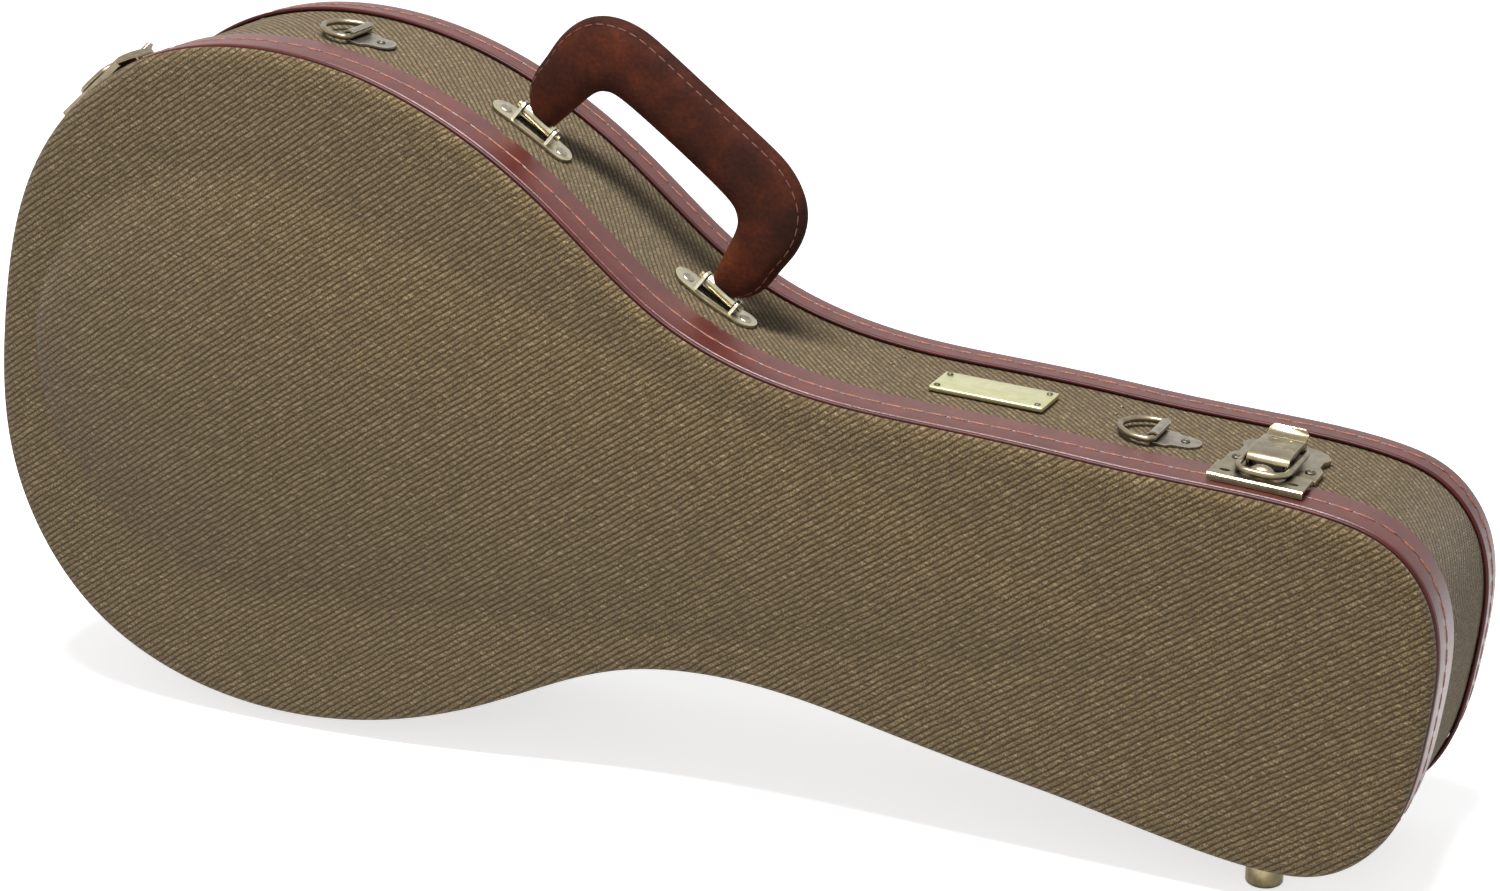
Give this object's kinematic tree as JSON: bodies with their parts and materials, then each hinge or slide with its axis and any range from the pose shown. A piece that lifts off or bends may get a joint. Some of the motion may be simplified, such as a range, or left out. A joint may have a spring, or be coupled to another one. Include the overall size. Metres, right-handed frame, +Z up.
{
  "type": "mandolin case",
  "caption": "Arched hard case for a mandolin, tweed covered with stitched leather bands, hinged lid, carrying handle, draw latches and D rings.",
  "frame": {"origin": "middle of the case's box at floor level, where its feet stand", "axes": "+Z up, +X along the length towards the head end, -Y towards the lid's face; the case stands on its side with the handle up"},
  "size_m": [0.7348, 0.1384, 0.3646],
  "materials": {
    "tweed": "coarse olive-brown twill tweed",
    "band_leather": "smooth brown leather with orange-brown stitches",
    "piping_leather": "dark red-brown piping",
    "handle_suede": "red-brown waxed suede, stitched round the edge",
    "antique_brass": "antiqued brass, worn bright at the edges",
    "nickel_plate": "grey nickel plate",
    "pale_brass": "pale satin brass, bare",
    "plush": "dark wine plush over padding",
    "tongue_cloth": "dark wine cloth",
    "pull_ribbon": "woven ribbon"
  },
  "bodies": {
    "case": {"body_wall": "tweed", "back_panel": "tweed", "back_band": "band_leather", "back_piping": "piping_leather", "closing_tongue": "tongue_cloth", "padded_bed": "plush", "neck_cradle": "plush", "accessory_box": "plush", "handle_plate_1": "antique_brass", "handle_plate_2": "antique_brass", "handle_pin_1": "antique_brass", "handle_pin_2": "antique_brass", "ring_clip_1": "nickel_plate", "ring_clip_2": "nickel_plate", "latch_plate_1": "antique_brass", "latch_plate_2": "antique_brass", "latch_pin_1": "antique_brass", "latch_pin_2": "antique_brass", "nameplate": "pale_brass", "hinge_body_leaf_1": "antique_brass", "hinge_body_leaf_2": "antique_brass", "hinge_pin_1": "antique_brass", "hinge_pin_2": "antique_brass", "bulge_foot_1": "antique_brass", "bulge_foot_2": "antique_brass", "head_foot_2": "antique_brass"},
    "lid": {"lid_wall": "tweed", "lid_top": "tweed", "lid_band": "band_leather", "lid_piping": "piping_leather", "lid_lining": "plush", "latch_catch_1": "antique_brass", "latch_catch_2": "antique_brass", "hinge_lid_leaf_1": "antique_brass", "hinge_lid_leaf_2": "antique_brass", "head_foot_1": "antique_brass"},
    "handle": {"handle_grip": "handle_suede", "handle_strap_1": "antique_brass", "handle_strap_2": "antique_brass"},
    "box_lid": {"accessory_lid": "plush", "accessory_pull": "pull_ribbon"},
    "d_ring_1": {"ring_1": "antique_brass"},
    "d_ring_2": {"ring_2": "antique_brass"},
    "lever_1": {"latch_lever_1": "antique_brass"},
    "lever_2": {"latch_lever_2": "antique_brass"},
    "bail_1": {"latch_bail_1": "antique_brass"},
    "bail_2": {"latch_bail_2": "antique_brass"}
  },
  "joints": [
    {"name": "lid_hinge", "type": "hinge", "parent": "case", "child": "lid", "pos_m": [-0.19943, -0.01905, 0.00393], "axis": [0.9999, 0, 0.0168], "range_deg": [0, 105]},
    {"name": "handle_swing", "type": "hinge", "parent": "case", "child": "handle", "pos_m": [-0.03926, 0.00225, 0.27382], "axis": [0.7885, 0, -0.615], "range_deg": [-75, 75]},
    {"name": "box_lid_hinge", "type": "hinge", "parent": "case", "child": "box_lid", "pos_m": [0.16226, 0.02095, 0.12125], "axis": [0.1461, 0, 0.9893], "range_deg": [0, 85]},
    {"name": "ring_1_swing", "type": "hinge", "parent": "case", "child": "d_ring_1", "pos_m": [-0.18366, 0.00325, 0.34554], "axis": [0, 1, 0], "range_deg": [0, 150]},
    {"name": "ring_2_swing", "type": "hinge", "parent": "case", "child": "d_ring_2", "pos_m": [0.22426, 0.00275, 0.19615], "axis": [0, 1, 0], "range_deg": [0, 150]},
    {"name": "lever_1_swing", "type": "hinge", "parent": "case", "child": "lever_1", "pos_m": [0.28076, -0.01775, 0.19555], "axis": [0.9961, 0, -0.0885], "range_deg": [0, 100]},
    {"name": "lever_2_swing", "type": "hinge", "parent": "case", "child": "lever_2", "pos_m": [-0.31339, -0.01775, 0.31771], "axis": [0.7548, 0, 0.656], "range_deg": [0, 100]},
    {"name": "bail_1_swing", "type": "hinge", "parent": "lever_1", "child": "bail_1", "pos_m": [0.28073, 0.00525, 0.19515], "axis": [0.9961, 0, -0.0885], "range_deg": [-110, 0]},
    {"name": "bail_2_swing", "type": "hinge", "parent": "lever_2", "child": "bail_2", "pos_m": [-0.31313, 0.00525, 0.31741], "axis": [0.7548, 0, 0.656], "range_deg": [-110, 0]}
  ],
  "couplings": [
    {"joint": "bail_1_swing", "follows": "lever_1_swing", "ratio": -1.1},
    {"joint": "bail_2_swing", "follows": "lever_2_swing", "ratio": -1.1}
  ]
}
